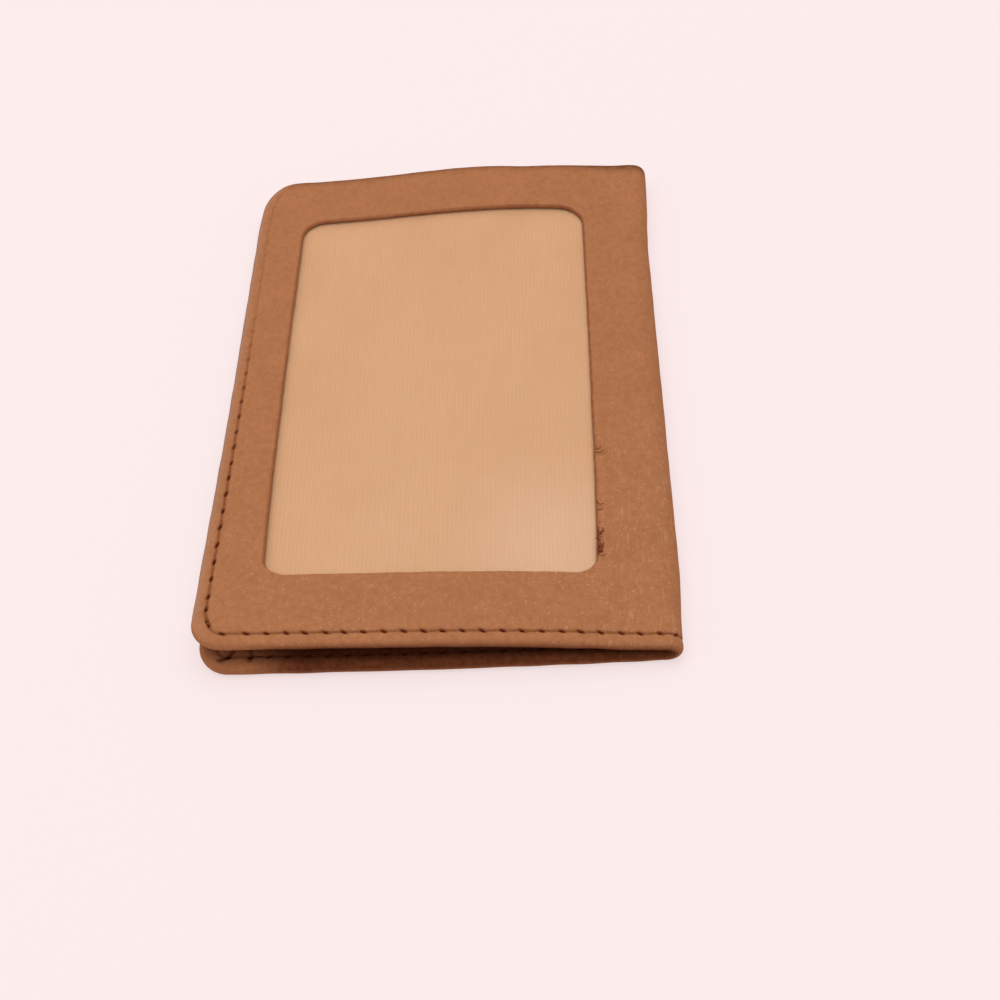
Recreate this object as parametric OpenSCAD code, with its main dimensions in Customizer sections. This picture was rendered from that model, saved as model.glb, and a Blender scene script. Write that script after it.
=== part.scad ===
// Folding badge wallet in turned-edge leather, lying closed on its back leaf.
// X runs across the wallet and the fold is at +X. Y runs along the fold. Z is up, with the table at zero.
// The origin is under the middle of the closed wallet.

/* [Wallet] */
// Closed width, from the outer edges to the back of the fold
wallet_w = 68.5; // [66:0.5:76]
// Height along the fold
wallet_h = 104.5; // [100:0.5:116]
// Radius of the two outer corners of each leaf
corner_r = 5.5; // [4.5:0.5:6.5]
// Free space between the hems of the two closed leaves
leaf_gap = 1; // [0.8:0.1:3]

/* [Window] */
// Leather left between the outer edge of the front leaf and the window
window_outer_margin = 9.1; // [8:0.1:16]
// Leather left between the window and the start of the bend
window_fold_margin = 8.9; // [8:0.1:16]
// Leather left between the near edge and the window
window_near_margin = 12.2; // [8:0.1:20]
// Leather left between the far edge and the window
window_far_margin = 12; // [8:0.1:20]
// Radius of the window's corners
window_r = 3.2; // [1:0.1:8]

/* [Leather] */
// Thickness of the outer leather
cover_t = 0.7; // [0.6:0.05:1.2]
// Thickness of the outer leather where it is pared down for turning
hem_t = 0.4; // [0.3:0.05:0.6]
// Width of the turned-in hem, from the rolled edge to its cut edge
hem_w = 7; // [6.6:0.1:8.5]
// Thickness of the pocket panels
panel_t = 0.5; // [0.4:0.05:0.8]
// Thickness of the card slot panels
slot_t = 0.4; // [0.3:0.05:0.6]

/* [Seam] */
// Distance of the seam from the rolled edge
seam_inset = 1.95; // [1.9:0.05:2.8]
// Width of the groove that the stitches pull into the leather
groove_w = 0.8; // [0.6:0.1:1]
// Depth of the groove
groove_d = 0.12; // [0.05:0.01:0.2]

/* [Lining and pane] */
// Thickness of the clear pane
pane_t = 0.25; // [0.15:0.05:0.4]
// Slack left behind the pane for the badge
badge_slack = 0.15; // [0.1:0.05:0.4]
// Thickness of the ribbed lining cloth
lining_t = 0.2; // [0.15:0.05:0.3]

/* [Fold] */
// Thickness of the turned edge where only the lining lies in it, by the fold
fold_edge_t = 1.6; // [1.5:0.05:2]
// Distance that the pocket mouths stay back from the start of the bend
mouth_setback = 4; // [3:0.1:4.4]
// Distance over which the lining drops from the board to the leather beside the fold
lining_drop = 1; // [0.5:0.1:1.5]
// How far the middle of a pocket mouth is curved in
mouth_dip = 1.4; // [0.5:0.1:2.5]

/* [Card slots] */
// Distance that the mouth of each card slot stays back from the mouth behind it
slot_stagger = 10.6; // [8:0.1:12]
// Leather of the rear slot that is hidden behind the front slot
slot_overlap = 5; // [3:0.5:10]
// Width of the step with which the front slot rises over the rear one
slot_step_w = 0.5; // [0.4:0.1:0.8]

/* [Hidden] */

// Slack that lets one piece lie in another
fit = 0.1;
// Length by which a cutting shape runs past what it cuts
overrun = 1;
// Facets of a small rounding, and of the very flat arc of a pocket mouth
round_sides = 48;
mouth_sides = 900;

leather = "#B17550";
inner_leather = "#8C5A3D";
ribbed_cloth = "#D7A67D";
clear_vinyl = [0.93, 0.90, 0.85, 0.45];
grey_board = "#A89A86";

// Depths of the layers, counted from the outer face of each leaf
board_t = pane_t + badge_slack;
lining_depth = cover_t + board_t;
panel_depth = lining_depth + lining_t;
slot_depth = panel_depth + panel_t;
front_leaf_t = slot_depth + hem_t;
back_leaf_t = slot_depth + slot_t + hem_t;
wallet_t = front_leaf_t + leaf_gap + back_leaf_t;

// The leather bends round half a circle at the fold
bend_r = wallet_t / 2;
crease_u = wallet_w - bend_r;
window_w = crease_u - window_outer_margin - window_fold_margin;
window_h = wallet_h - window_near_margin - window_far_margin;
mouth_u = crease_u - mouth_setback;
hem_drop_u = mouth_u + fit;
board_end_u = mouth_u - lining_drop;

// Round end of the space inside a turned edge, and how far the layers in it stay from the rolled edge
function cavity(t) = t - cover_t - hem_t;
function layer_inset(t) = cover_t + cavity(t) / 2 + fit;

// The front slot rises just inside the cut edge of the hem, and the rear slot lies under it
rise_inset = hem_w + fit;
tuck_inset = rise_inset + slot_step_w;
rear_slot_start = tuck_inset + fit;
slot_h = wallet_h - 2 * rear_slot_start;
rear_slot_mouth = mouth_u - slot_stagger;
front_slot_mouth = rear_slot_mouth - slot_stagger;
rise_depth = slot_depth + lining_t + slot_t;

// Leaf space: x runs from the outer edge towards the fold, y along the fold, z in from the outer face

// Section of a turned edge: the outer skin is below, the hem above, the rolled end at x = 0
module turned_edge(t) {
    difference() {
        union() {
            translate([t / 2, t / 2]) circle(d = t, $fn = round_sides);
            translate([t / 2, 0]) square([hem_w - t / 2, t]);
        }
        translate([cover_t + cavity(t) / 2, cover_t + cavity(t) / 2]) circle(d = cavity(t), $fn = round_sides);
        translate([cover_t + cavity(t) / 2, cover_t]) square([hem_w, cavity(t)]);
        translate([seam_inset - groove_w / 2, -overrun]) square([groove_w, overrun + groove_d]);
        translate([seam_inset - groove_w / 2, t - groove_d]) square([groove_w, overrun + groove_d]);
    }
}

// Turned edge along the near side, from one place across the leaf to another
module near_edge(t, from_u, to_u) {
    translate([from_u, -wallet_h / 2, 0])
        rotate([90, 0, 90])
            linear_extrude(to_u - from_u)
                turned_edge(t);
}

module outer_edge(t) {
    run = wallet_h - 2 * corner_r;
    translate([0, run / 2, 0])
        rotate([90, 0, 0])
            linear_extrude(run)
                turned_edge(t);
}

module near_corner(t) {
    translate([corner_r, corner_r - wallet_h / 2, 0])
        rotate([0, 0, 180])
            rotate_extrude(angle = 90, $fn = round_sides)
                intersection() {
                    translate([corner_r, 0]) mirror([1, 0]) turned_edge(t);
                    square([corner_r, t]);
                }
}

// Outer leather of one leaf, turned in on three sides and open towards the fold
module leaf_cover(t) {
    outer_edge(t);
    for (side = [0, 1]) mirror([0, side, 0]) {
        near_corner(t);
        near_edge(t, corner_r, hem_drop_u);
        near_edge(fold_edge_t, hem_drop_u, crease_u);
    }
    translate([hem_w, hem_w - wallet_h / 2, 0]) cube([crease_u - hem_w, wallet_h - 2 * hem_w, cover_t]);
}

// Outline of a layer that lies in the turned edges and stops at a straight line
module blank(inset, end_u) {
    translate([corner_r, inset - wallet_h / 2]) square([end_u - corner_r, wallet_h - 2 * inset]);
    translate([inset, corner_r - wallet_h / 2]) square([end_u - inset, wallet_h - 2 * corner_r]);
    for (side = [-1, 1]) {
        translate([corner_r, side * (wallet_h / 2 - corner_r)]) circle(r = corner_r - inset, $fn = round_sides);
    }
}

// A flat arc that curves a pocket mouth in between two ends a given distance apart
module mouth_arc(end_u, span) {
    arc_r = (span * span / 4 + mouth_dip * mouth_dip) / (2 * mouth_dip);
    translate([end_u - mouth_dip + arc_r, 0]) circle(r = arc_r, $fn = mouth_sides);
}

// A pocket panel: rounded at the outer corners, with a curved mouth towards the fold
module panel(inset, end_u) {
    difference() {
        blank(inset, end_u);
        mouth_arc(end_u, wallet_h - 2 * hem_w);
    }
}

module rounded_rect(w, h, r) {
    translate([r, 0]) square([w - 2 * r, h]);
    translate([0, r]) square([w, h - 2 * r]);
    for (x = [r, w - r], y = [r, h - r]) {
        translate([x, y]) circle(r = r, $fn = round_sides);
    }
}

module layer(depth, t) {
    translate([0, 0, depth]) linear_extrude(t) children();
}

// Places a leaf: the back one as it is, the front one turned over on top of it
module back_leaf() {
    translate([-wallet_w / 2, 0, 0]) children();
}

module front_leaf() {
    translate([-wallet_w / 2, 0, wallet_t]) mirror([0, 0, 1]) children();
}

// Sweeps a section round the bend: x is the distance from its middle line, y runs along the fold
module round_bend() {
    translate([wallet_w / 2 - bend_r, 0, bend_r])
        rotate([90, 0, 0])
            rotate([0, 0, -90])
                rotate_extrude(angle = 180, $fn = round_sides)
                    children();
}

module front_cover() {
    color(leather) front_leaf() difference() {
        leaf_cover(front_leaf_t);
        translate([window_outer_margin, window_near_margin - wallet_h / 2, -overrun])
            linear_extrude(cover_t + 2 * overrun)
                rounded_rect(window_w, window_h, window_r);
    }
}

module window_pane() {
    color(clear_vinyl) front_leaf() layer(cover_t, pane_t) blank(layer_inset(front_leaf_t), mouth_u);
}

module window_backing() {
    color(ribbed_cloth) front_leaf() layer(lining_depth, lining_t) panel(layer_inset(front_leaf_t), mouth_u);
}

module front_panel() {
    color(inner_leather) front_leaf() layer(panel_depth, panel_t) panel(layer_inset(front_leaf_t), mouth_u);
}

module front_fold_lining() {
    color(ribbed_cloth) front_leaf() layer(cover_t, lining_t)
        translate([hem_drop_u, layer_inset(fold_edge_t) - wallet_h / 2])
            square([crease_u - hem_drop_u, wallet_h - 2 * layer_inset(fold_edge_t)]);
}

module spine_cover() {
    color(leather) round_bend() {
        for (side = [0, 1]) mirror([0, side]) translate([bend_r, -wallet_h / 2]) rotate(90) turned_edge(fold_edge_t);
        translate([bend_r - cover_t, hem_w - wallet_h / 2]) square([cover_t, wallet_h - 2 * hem_w]);
    }
}

module spine_lining() {
    color(ribbed_cloth) round_bend()
        translate([bend_r - cover_t - fit / 2 - lining_t, layer_inset(fold_edge_t) - wallet_h / 2])
            square([lining_t, wallet_h - 2 * layer_inset(fold_edge_t)]);
}

module back_cover() {
    color(leather) back_leaf() leaf_cover(back_leaf_t);
}

module back_stiffener() {
    color(grey_board) back_leaf() layer(cover_t, board_t) blank(layer_inset(back_leaf_t), board_end_u);
}

// The cloth lies on the board and drops onto the leather beside the fold
module back_lining() {
    color(ribbed_cloth) back_leaf() intersection() {
        linear_extrude(back_leaf_t) blank(layer_inset(back_leaf_t), crease_u);
        translate([0, wallet_h / 2, 0])
            rotate([90, 0, 0])
                linear_extrude(wallet_h)
                    polygon([
                        [0, lining_depth],
                        [board_end_u, lining_depth],
                        [mouth_u, cover_t],
                        [crease_u, cover_t],
                        [crease_u, cover_t + lining_t],
                        [mouth_u, cover_t + lining_t],
                        [board_end_u, lining_depth + lining_t],
                        [0, lining_depth + lining_t],
                    ]);
    }
}

module back_panel() {
    color(inner_leather) back_leaf() layer(panel_depth, panel_t) panel(layer_inset(back_leaf_t), mouth_u);
}

module rear_slot_lining() {
    color(ribbed_cloth) back_leaf() layer(slot_depth, lining_t) difference() {
        translate([rear_slot_start, -slot_h / 2]) square([rear_slot_mouth - rear_slot_start, slot_h]);
        mouth_arc(rear_slot_mouth, slot_h);
    }
}

module rear_slot_panel() {
    start_u = front_slot_mouth - slot_overlap;
    color(inner_leather) back_leaf() layer(slot_depth + lining_t, slot_t) difference() {
        translate([start_u, -slot_h / 2]) square([rear_slot_mouth - start_u, slot_h]);
        mouth_arc(rear_slot_mouth, slot_h);
    }
}

// Its margin lies under the hem, and the rest is raised over the rear slot
module front_slot_panel() {
    color(inner_leather) back_leaf() difference() {
        union() {
            layer(slot_depth, slot_t) blank(layer_inset(back_leaf_t), front_slot_mouth);
            translate([rise_inset, rise_inset - wallet_h / 2, slot_depth])
                cube([front_slot_mouth - rise_inset, wallet_h - 2 * rise_inset, rise_depth + slot_t - slot_depth]);
        }
        translate([tuck_inset, tuck_inset - wallet_h / 2, slot_depth - overrun])
            cube([wallet_w, wallet_h - 2 * tuck_inset, rise_depth + overrun - slot_depth]);
        translate([0, 0, slot_depth - overrun]) linear_extrude(rise_depth + 2 * overrun)
            mouth_arc(front_slot_mouth, slot_h);
    }
}

front_cover();
window_pane();
window_backing();
front_panel();
front_fold_lining();
spine_cover();
spine_lining();
back_cover();
back_stiffener();
back_lining();
back_panel();
rear_slot_lining();
rear_slot_panel();
front_slot_panel();
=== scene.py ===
import math

import bpy
import bmesh
import numpy as np
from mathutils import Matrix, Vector
from mathutils.geometry import delaunay_2d_cdt


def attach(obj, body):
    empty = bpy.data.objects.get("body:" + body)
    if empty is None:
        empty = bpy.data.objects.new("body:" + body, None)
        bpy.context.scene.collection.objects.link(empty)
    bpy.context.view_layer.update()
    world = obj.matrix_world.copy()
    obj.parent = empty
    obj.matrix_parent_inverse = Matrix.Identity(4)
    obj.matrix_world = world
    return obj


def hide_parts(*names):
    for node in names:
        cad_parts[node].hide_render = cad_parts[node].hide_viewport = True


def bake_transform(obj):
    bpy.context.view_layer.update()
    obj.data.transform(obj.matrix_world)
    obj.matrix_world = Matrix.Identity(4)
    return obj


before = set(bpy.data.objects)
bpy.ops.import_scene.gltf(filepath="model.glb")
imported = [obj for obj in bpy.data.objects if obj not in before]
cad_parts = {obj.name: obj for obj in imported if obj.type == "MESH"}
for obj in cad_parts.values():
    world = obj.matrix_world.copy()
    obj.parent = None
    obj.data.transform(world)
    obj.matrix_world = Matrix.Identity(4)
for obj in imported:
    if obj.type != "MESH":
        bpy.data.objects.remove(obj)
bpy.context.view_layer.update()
scene = bpy.context.scene
scene.view_settings.view_transform = "Standard"
print("frame loaded")

# Everything below is worked out in millimetres and turned to metres when a mesh is made.
# Leaf places: u runs in from the outer edge towards the fold, v along the fold, depth in from the outer face.
metre = 0.001
wallet = {
    "width": 68.5,
    "height": 104.5,
    "thick": 5.8,
    "nearCorner": 4.4,
    "farCorner": 8.3,
    "crease": 65.6,
    "skin": 0.7,
    "hem": 0.36,
    "hemWidth": 7.0,
    "foldEdge": 1.95,
    "packed": 0.76,  # the layers between the leathers are pressed to this share of their free thickness
    "packedAtFold": 0.59,
    "thinFrom": 49.0,  # from here to the pocket mouths the leaf gets thinner towards the fold
    "thinTo": 61.6,
    "roll": 0.95,
    "hemFace": 1.9,
}
half = wallet["height"] / 2
creaseX = wallet["crease"] - wallet["width"] / 2

# Heights of the front leaf above its flat place, from the outer side to the fold
frontLeafLift = {
    "near": (1.1, 0.7, 0.25, -1.4),
    "far": (-1.4, -0.8, 1.05, -0.65),
    "bow": (-0.6, 0.3, 0.0, 0.25),
    "levelFrom": 58.2,
}
# How the turned leather has drawn out of square, in millimetres
# A span is where a change starts and how far it runs, and a place is a middle and a width.
handwork = {
    "backCreep": 0.9,
    "backTuck": 0.35,
    "backTuckSpan": (43.0, 8.0),
    "nearPull": 0.22,
    "farStretch": 0.95,
    "farSpan": (41.0, 11.0),
    "farDip": 0.62,
    "farDipPlace": (47.5, 6.5),
    "farTuck": 0.42,
    "farTuckPlace": (47.8, 5.6),
    "foldStretch": 1.2,
    "foldSpan": (52.0, 9.0),
    "farSink": 1.0,
    "farSinkWidth": 2.6,
    "sinkFade": 10.0,
    "foldBulge": 0.07,
    "farBulge": 0.25,
    "farBulgeSpan": (30.0, 20.0),
    "nearTuck": 0.16,
    "nearTuckSpan": (38.0, 12.0),
    "farSquare": 0.5,
    "farSquareSpan": (30.0, 18.0),
    "corner": 9.0,
}


def ease(x):
    x = np.clip(x, 0.0, 1.0)
    return x * x * (3 - 2 * x)


def over(x, span):  # eases from 0 to 1 over a span
    return ease((x - span[0]) / span[1])


def bell(x, middle, width):
    return np.exp(-(((x - middle) / width) ** 2))


def mixed(a, b, share):
    return a + (b - a) * share


def unit(vectors):
    return vectors / np.linalg.norm(vectors, axis=1)[:, None]


def ripple(u, v, size, seed):  # soft unevenness of a hide, between about -1 and 1
    rng = np.random.default_rng(seed)
    total = np.zeros(np.broadcast(u, v).shape)
    for k in range(7):
        heading = rng.uniform(0, math.pi)
        wave = size * rng.uniform(0.7, 1.6)
        phase = rng.uniform(0, 2 * math.pi)
        total = total + np.sin((u * math.cos(heading) + v * math.sin(heading)) * 2 * math.pi / wave + phase)
    return total / 4.5


def frontLift(u, v):
    level, crease = frontLeafLift["levelFrom"], wallet["crease"]
    u = np.minimum(u, crease)
    run = crease - level
    eased = np.where(u > level, u - (u - level) ** 2 / (2 * run), u)
    t = eased / (level + run / 2)
    b = v / half
    shares = (
        -4.5 * (t - 1 / 3) * (t - 2 / 3) * (t - 1),
        13.5 * t * (t - 2 / 3) * (t - 1),
        -13.5 * t * (t - 1 / 3) * (t - 1),
        4.5 * t * (t - 1 / 3) * (t - 2 / 3),
    )
    lift = 0.0
    heights = (frontLeafLift[title] for title in ("near", "far", "bow"))
    for share, near, far, bow in zip(shares, *heights):
        lift = lift + share * (near * (1 - b) / 2 + far * (1 + b) / 2 + bow * (1 - b * b))
    return lift


def thinning(u):
    return ease((u - wallet["thinFrom"]) / (wallet["thinTo"] - wallet["thinFrom"]))


def pressed(u, depth):  # depth of a layer between the leathers, in the pressed leaf
    press = mixed(wallet["packed"], wallet["packedAtFold"], thinning(u))
    return np.where(depth > wallet["skin"], wallet["skin"] + (depth - wallet["skin"]) * press, depth)


def leafThickness(u, layers):  # layers is how deep the leaf's own layers reach
    inner = wallet["skin"] + (layers - wallet["skin"]) * wallet["packed"] + wallet["hem"]
    return mixed(inner, wallet["foldEdge"], thinning(u))


def farPull(u, v):  # how far the far rim is drawn out: most at the fold, least where the leaf humps
    amount = mixed(handwork["farStretch"], handwork["foldStretch"], over(u, handwork["foldSpan"]))
    amount = amount - handwork["farDip"] * bell(u, *handwork["farDipPlace"])
    return amount * over(v, handwork["farSpan"])


def placeFront(u, v, depth):
    # the near outer corner is pulled out a little, and the far rim is pressed thin, so it rounds away
    pull = handwork["nearPull"] * ease(-v / 50) - handwork["farTuck"] * bell(v, *handwork["farTuckPlace"])
    pull = pull * ease(1 - u / handwork["corner"])
    rim = np.clip((v - half + handwork["farSinkWidth"]) / handwork["farSinkWidth"], 0, 1)
    sink = handwork["farSink"] * rim ** 2 * ease((wallet["crease"] - u) / handwork["sinkFade"])
    sink = sink * np.clip(1 - depth / wallet["hemFace"], 0, 1)
    z = wallet["thick"] - depth - sink + frontLift(u, v)
    return np.stack(np.broadcast_arrays(u - wallet["width"] / 2 - pull, v + farPull(u, v), z), -1)


def placeBack(u, v, depth):  # the back leaf has crept a little towards the near side, away from the fold
    tuck = handwork["backTuck"] * over(-v, handwork["backTuckSpan"]) * ease(1 - u / handwork["corner"])
    creep = handwork["backCreep"] * (1 - np.clip(u / wallet["crease"], 0, 1) ** 3)
    pulled = v - creep + farPull(wallet["crease"], v) * ease((u - 40) / 20)
    return np.stack(np.broadcast_arrays(u - wallet["width"] / 2 + tuck, pulled, depth), -1)


def placeBend(turn, v, depth):  # turn runs from 0 at the back leaf's crease to 1 at the front leaf's
    angle = turn * math.pi
    radius = wallet["thick"] / 2 - depth
    drop = frontLift(np.full(np.shape(v), wallet["crease"]), v) * (1 - np.cos(angle)) / 2
    bulge = 1 + handwork["foldBulge"] + handwork["farBulge"] * over(v, handwork["farBulgeSpan"])
    bulge = bulge - handwork["nearTuck"] * over(-v, handwork["nearTuckSpan"])
    # the far end of the fold is squarer above than below
    power = 1 - handwork["farSquare"] * over(v, handwork["farSquareSpan"]) * (np.asarray(turn) > 0.5)
    x = creaseX + radius * np.maximum(np.sin(angle), 0) ** power * bulge
    z = wallet["thick"] / 2 - radius * np.cos(angle) + drop
    return np.stack(np.broadcast_arrays(x, v + farPull(wallet["crease"], v), z), -1)


# Materials


def fromHex(code):
    def linear(c):
        return c / 12.92 if c <= 0.04045 else ((c + 0.055) / 1.055) ** 2.4

    return tuple(linear(int(code[i:i + 2], 16) / 255) for i in (1, 3, 5)) + (1.0,)


def addNode(tree, kind, inputs=None, out=0, **settings):
    # adds a node, sets or links its sockets, and returns one of its outputs, or all of them if out is None
    node = tree.nodes.new(kind)
    for name, value in settings.items():
        setattr(node, name, value)
    for name, value in (inputs or {}).items():
        if isinstance(value, bpy.types.NodeSocket):
            tree.links.new(value, node.inputs[name])
        else:
            node.inputs[name].default_value = value
    return node.outputs if out is None else node.outputs[out]


def newMaterial(name):
    material = bpy.data.materials.new(name)
    material.use_nodes = True
    tree = material.node_tree
    tree.nodes.clear()
    return material, tree, addNode(tree, "ShaderNodeTexCoord", out="Object")


def finished(material, tree, sockets):  # brings the patterns and the plain values together on one shader
    shader = addNode(tree, "ShaderNodeBsdfPrincipled", sockets)
    addNode(tree, "ShaderNodeOutputMaterial", {"Surface": shader}, None)
    return material


def grained(tree, place, stretch, size, detail=2.0, roughness=0.5):
    # an uneven pattern whose grain is size millimetres, after the place is scaled per axis
    spread = addNode(tree, "ShaderNodeMapping", {"Vector": place, "Scale": stretch})
    settings = {"Vector": spread, "Scale": 1 / (size * metre), "Detail": detail, "Roughness": roughness}
    return addNode(tree, "ShaderNodeTexNoise", settings)


def strength(tree, *rows, how="MULTIPLY"):
    # How strongly a finish shows, from rows that are multiplied unless how says otherwise. A row is a socket,
    # the name of a shade that the mesh carries, or a pattern, its span from and to, and its least and most.
    total = None
    for row in rows:
        share = row
        if isinstance(row, str):
            share = addNode(tree, "ShaderNodeAttribute", out="Fac", attribute_name=row)
        if isinstance(row, tuple):
            share = addNode(tree, "ShaderNodeMapRange", dict(enumerate(row)), interpolation_type="SMOOTHSTEP")
        if total is not None:
            share = addNode(tree, "ShaderNodeMath", {0: total, 1: share}, operation=how)
        total = share
    return total


def toned(tree, colour, tone, *rows):  # lays a tone over a colour as strongly as the rows say
    colour, tone = (fromHex(c) if isinstance(c, str) else c for c in (colour, tone))
    return addNode(tree, "ShaderNodeMix", {0: strength(tree, *rows), 6: colour, 7: tone}, 2, data_type="RGBA")


def makeNubuck():
    # Nubuck: cowhide buffed on the grain side and left matt. The nap gives a soft mottle, with light flecks
    # where the fibres catch the light. Painted shade darkens it in the seam's holes and groove, where the
    # turned edge rolls under, along the far rim and at the window's cut, which is also darker in its own raw
    # colour.
    look = {
        "body": "#B0744E",
        "deep": "#A1673F",
        "warm": "#B57750",
        "fleck": "#CE9971",
        "pit": "#93592F",
        # painted shade of the seam's holes and groove
        "seam": "#561A02",
        # the raw cut's own darker colour, also carrying painted shade
        "cut": "#94593A",
        # the next two tones are painted shade, for the turned edge rolling under and for the far rim
        "inner": "#6B3921",
        "shadeDeep": "#5C2E17",
        # dust on the outer rim's nap, with a painted sheen
        "worn": "#AE8672",
        "sheen": "#D9A27C",
        "fleckSize": 0.3,
        "brushedSize": 0.55,
        "clumpSize": 0.9,
        "cloudSize": 6.0,
    }
    material, tree, place = newMaterial("buffedNubuck")
    cloud = grained(tree, place, (1, 1, 1), look["cloudSize"], 3.0)
    clump = grained(tree, place, (1, 0.8, 1), look["clumpSize"], 3.0, 0.6)
    fine = grained(tree, place, (1, 1, 1), look["fleckSize"], 2.0, 0.6)
    brushed = grained(tree, place, (1, 0.16, 1), look["brushedSize"], 3.0, 0.6)
    x, y, _ = addNode(tree, "ShaderNodeSeparateXYZ", {0: place}, None)
    # the near part and the fold have been handled most, so the nap is rougher there
    handled = strength(tree, (y, 0.02, -0.04, 0.25, 0.9), (x, 0.01, 0.03, 0.0, 0.3), how="ADD")
    colour = toned(tree, look["body"], look["warm"], (cloud, 0.3, 0.7))
    colour = toned(tree, colour, look["deep"], (clump, 0.4, 0.7, 0.0, 0.42))
    colour = toned(tree, colour, look["fleck"], (fine, 0.58, 0.72), (clump, 0.58, 0.38, 0.15, 1.0), handled)
    colour = toned(tree, colour, look["pit"], (fine, 0.40, 0.28, 0.0, 0.4), handled)
    # the nap is brushed along the fold where hands open the wallet
    nearFold = strength(tree, (x, 0.016, 0.028, 0.0, 0.52), (y, 0.0, -0.03, 0.1, 1.0))
    colour = toned(tree, colour, look["fleck"], (brushed, 0.54, 0.78), nearFold)
    # a paler, greyer band on the outer rim: dust on the nap, with a painted sheen
    colour = toned(tree, colour, look["worn"], "wornShade")
    # painted shade where the turned edge rolls under and along the far rim, a little mottled
    darkening = toned(tree, look["inner"], look["shadeDeep"], (clump, 0.35, 0.65))
    colour = toned(tree, colour, darkening, "innerShade")
    # painted shade in the seam's holes and groove
    colour = toned(tree, colour, look["seam"], "seamShade")
    # the window's raw cut: its own darker colour, with painted shade
    colour = toned(tree, colour, look["cut"], "cutShade")
    relief = addNode(tree, "ShaderNodeMath", {0: clump, 1: 1.6, 2: fine}, operation="MULTIPLY_ADD")
    return finished(material, tree, {
        "Base Color": colour,
        "Roughness": strength(tree, (clump, 0.3, 0.7, 0.78, 0.9)),
        "Normal": addNode(tree, "ShaderNodeBump", {"Strength": 0.35, "Distance": 0.00008, "Height": relief}),
        "Specular IOR Level": 0.06,
        "Sheen Weight": 0.05,
        "Sheen Roughness": 0.5,
        "Sheen Tint": fromHex(look["sheen"]),
    })


def makePocketLeather():
    # Sheep skiver: thin smooth-dyed pocket leather with a fine pebble and a low gloss.
    look = {
        "body": "#7C4B30",
        "deep": "#6B3F28",
        "valleyShade": "#4F2C1A",
        "cut": "#3E2214",
        "pebble": 0.55,
        "cloud": 5.0,
    }
    material, tree, place = newMaterial("skiverLeather")
    pebble = {"Vector": place, "Scale": 1 / (look["pebble"] * metre)}
    grain = addNode(tree, "ShaderNodeTexVoronoi", pebble, "Distance", feature="SMOOTH_F1")
    cloud = grained(tree, place, (1, 1, 1), look["cloud"], 3.0)
    colour = toned(tree, look["body"], look["deep"], (cloud, 0.3, 0.7))
    # painted shade in the valleys of the pebble grain
    colour = toned(tree, colour, look["valleyShade"], (grain, 0.35, 0.7, 0.0, 0.38))
    relief = {"Strength": 0.4, "Distance": 0.00008, "Height": grain}
    return finished(material, tree, {
        "Base Color": toned(tree, colour, look["cut"], "cutShade"),
        "Roughness": strength(tree, (grain, 0.2, 0.7, 0.5, 0.68)),
        "Normal": addNode(tree, "ShaderNodeBump", relief, invert=True),
        "Specular IOR Level": 0.18,
    })


ribPitch = 0.64


def makeRibbedCloth():
    # Viscose rib lining: fine cords along the fold, 0.64 mm apart, woven of pale tan yarn with a faint
    # lustre.
    look = {
        "rib": "#E6B280",
        "valleyShade": "#E1AD7B",
        "slub": "#EBBA8E",
        "dim": "#D9A26E",
        "recessShadeTone": "#B07A48",
        "weft": 6.0,
    }
    material, tree, place = newMaterial("ribbedViscose")
    height = addNode(tree, "ShaderNodeSeparateXYZ", {0: place})
    for how, by in (("MULTIPLY", 2 * math.pi / (ribPitch * metre)), ("COSINE", 0.0)):
        height = addNode(tree, "ShaderNodeMath", {0: height, 1: by}, operation=how)
    yarn = grained(tree, place, (1, 0.1, 1), 0.35)
    cloud = grained(tree, place, (1, 0.6, 1), 9.0)
    # painted shade in the valleys between the cords
    colour = toned(tree, look["valleyShade"], look["rib"], (height, -1.0, 1.0))
    colour = toned(tree, colour, look["slub"], (yarn, 0.5, 0.75, 0.0, 0.5))
    colour = toned(tree, colour, look["dim"], (cloud, 0.4, 0.65, 0.0, 0.2))
    weft = {"Vector": place, "Scale": 1 / (look["weft"] * metre), "Distortion": 0.4}
    weave = addNode(tree, "ShaderNodeTexWave", weft, "Fac", bands_direction="Y")
    # painted shade on the cloth along the window's cut
    return finished(material, tree, {
        "Base Color": toned(tree, colour, look["recessShadeTone"], "cutShade"),
        "Roughness": strength(tree, (yarn, 0.3, 0.7, 0.7, 0.82)),
        "Normal": addNode(tree, "ShaderNodeBump", {"Strength": 0.3, "Distance": 0.00003, "Height": weave}),
    })


def makeVinyl():
    # Clear plasticised vinyl: a soft film with a faint milky bloom and low waves. A soft veil and a brighter
    # hump on it are painted reflections of the light.
    look = {"body": "#DAB18B", "bloom": "#E2BC98", "paintedVeil": "#DFBD9B", "paintedHump": "#F3DCC8"}
    material, tree, place = newMaterial("clearVinylFilm")
    bloom = grained(tree, place, (1, 1, 1), 14.0)
    x, y, _ = addNode(tree, "ShaderNodeSeparateXYZ", {0: place}, None)
    colour = toned(tree, look["body"], look["bloom"], (bloom, 0.3, 0.7))
    # painted reflections of the light: a soft veil stronger towards the near side and the fold, and a
    # brighter hump near the window's near corner on the fold side
    colour = toned(tree, colour, look["paintedVeil"], (y, 0.036, 0.0), (x, -0.026, -0.008))
    colour = toned(tree, colour, look["paintedHump"], (x, -0.002, 0.016), (y, -0.014, -0.034))
    roughness = strength(tree, (bloom, 0.3, 0.7, 0.2, 0.3))
    film = {"Base Color": colour, "Roughness": roughness, "IOR": 1.53, "Alpha": 0.14}
    return finished(material, tree, film)


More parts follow.
